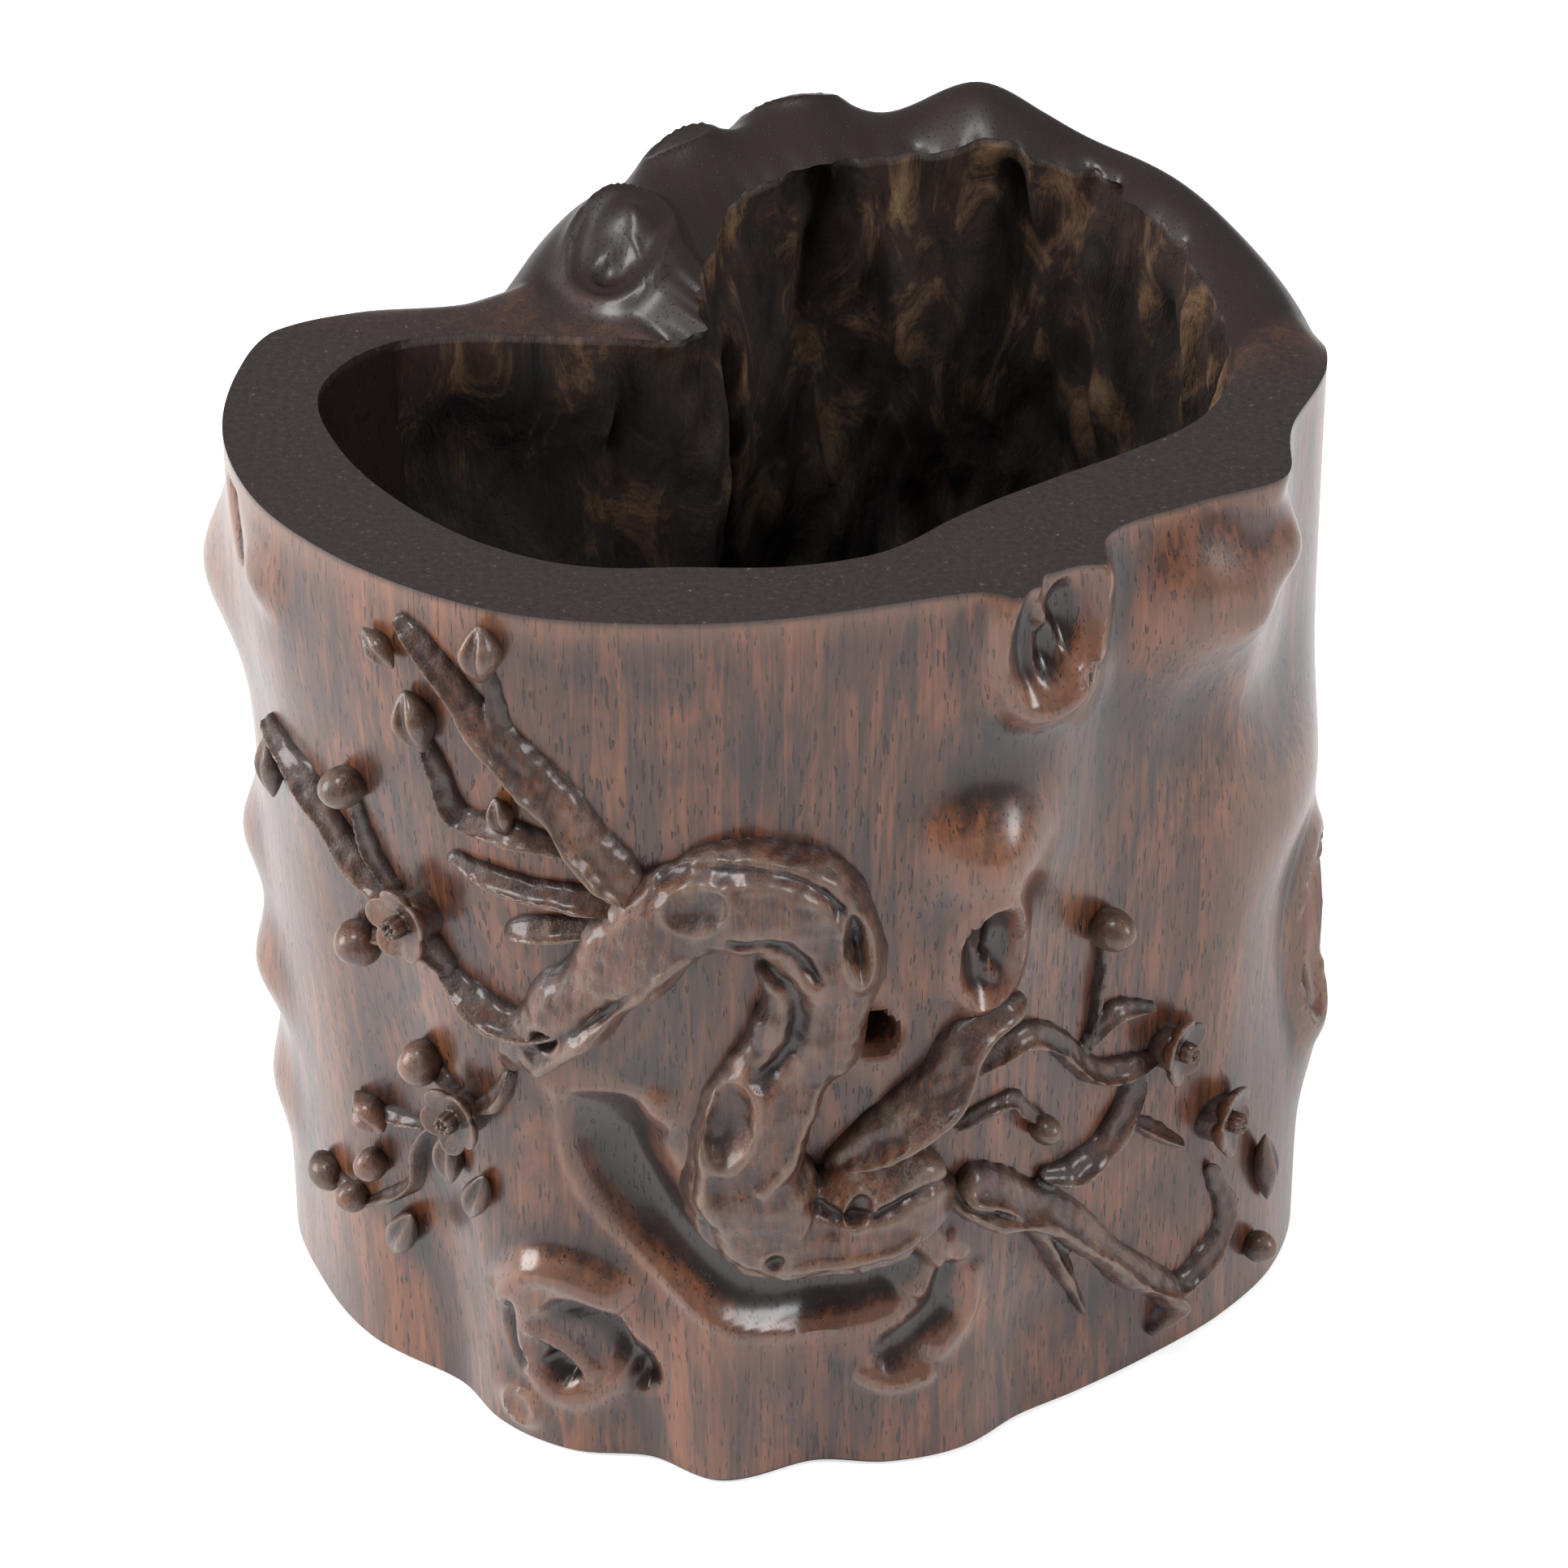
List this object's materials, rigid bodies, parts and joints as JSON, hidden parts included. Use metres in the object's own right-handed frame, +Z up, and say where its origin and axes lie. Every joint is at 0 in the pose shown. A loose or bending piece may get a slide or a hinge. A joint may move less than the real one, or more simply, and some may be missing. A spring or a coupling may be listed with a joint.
{
  "type": "wooden brush pot",
  "caption": "Hollow knotty hardwood block that holds writing brushes, with a plum branch carved round its front and a board let into its foot.",
  "frame": {"origin": "on the resting plane, under the middle of the block's outline", "axes": "+Z up, the carved front looks along -Y, +X to the right seen from the front"},
  "size_m": [0.1868, 0.168, 0.1874],
  "materials": {
    "polished_wood": "waxed and hand-polished, dark streaks and pores",
    "board_wood": "planed, waxed thinly",
    "peg_wood": "end grain, flush and bare"
  },
  "bodies": {
    "root": {"trunk": "polished_wood", "base_board": "board_wood", "base_plug": "board_wood", "base_peg_1": "peg_wood", "base_peg_2": "peg_wood", "base_peg_3": "peg_wood", "base_peg_4": "peg_wood"}
  },
  "joints": []
}
